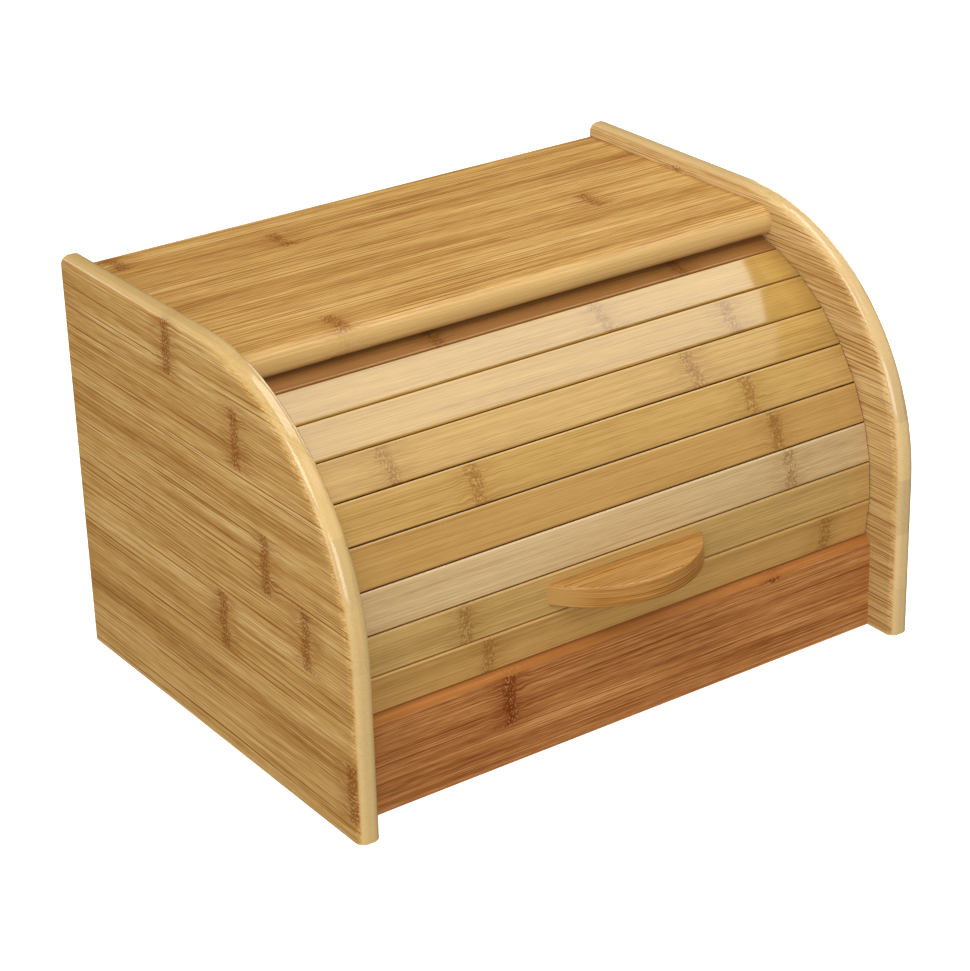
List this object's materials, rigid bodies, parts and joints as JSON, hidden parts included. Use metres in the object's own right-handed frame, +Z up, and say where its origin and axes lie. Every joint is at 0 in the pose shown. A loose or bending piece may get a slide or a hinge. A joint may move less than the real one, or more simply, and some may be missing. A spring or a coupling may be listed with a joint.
{
  "type": "bread box with roll top",
  "caption": "Bamboo bread box with rounded side panels and a slatted roll top that slides up and back in curved grooves by a half-moon handle.",
  "frame": {"origin": "middle of the base, on the surface the box stands on, midway along the side panels' depth", "axes": "+X across the width, the curtain and handle face -Y, +Z up"},
  "size_m": [0.4, 0.3103, 0.252],
  "materials": {
    "panel_bamboo": "laminated caramel bamboo under satin lacquer, grain front to back",
    "board_bamboo": "laminated golden bamboo under satin lacquer, grain across the width",
    "back_bamboo": "thin bamboo panel, satin",
    "rail_bamboo": "darker carbonised bamboo under satin lacquer",
    "slat_bamboo": "single bamboo strips under gloss lacquer, grain along the slat",
    "handle_bamboo": "laminated bamboo under satin lacquer",
    "dowel_beech": "raw fluted hardwood",
    "canvas": "unbleached cotton canvas, plain weave",
    "screw_steel": "zinc-plated"
  },
  "bodies": {
    "casing": {"side_panel_left": "panel_bamboo", "side_panel_right": "panel_bamboo", "top_board": "board_bamboo", "bottom_board": "board_bamboo", "back_panel": "back_bamboo", "front_rail": "rail_bamboo", "top_board_dowels": "dowel_beech", "front_rail_dowels": "dowel_beech", "bottom_board_dowels": "dowel_beech"},
    "curtain": {"slat_01": "slat_bamboo", "slat_02": "slat_bamboo", "slat_03": "slat_bamboo", "slat_04": "slat_bamboo", "slat_05": "slat_bamboo", "slat_06": "slat_bamboo", "slat_07": "slat_bamboo", "slat_08": "slat_bamboo", "slat_09": "slat_bamboo", "slat_10": "slat_bamboo", "canvas_backing": "canvas", "handle": "handle_bamboo", "handle_screws": "screw_steel"}
  },
  "joints": [
    {"name": "roll_top", "type": "hinge", "parent": "casing", "child": "curtain", "pos_m": [0, 0.012, 0.09], "axis": [-1, 0, 0], "range_deg": [0, 67]}
  ]
}
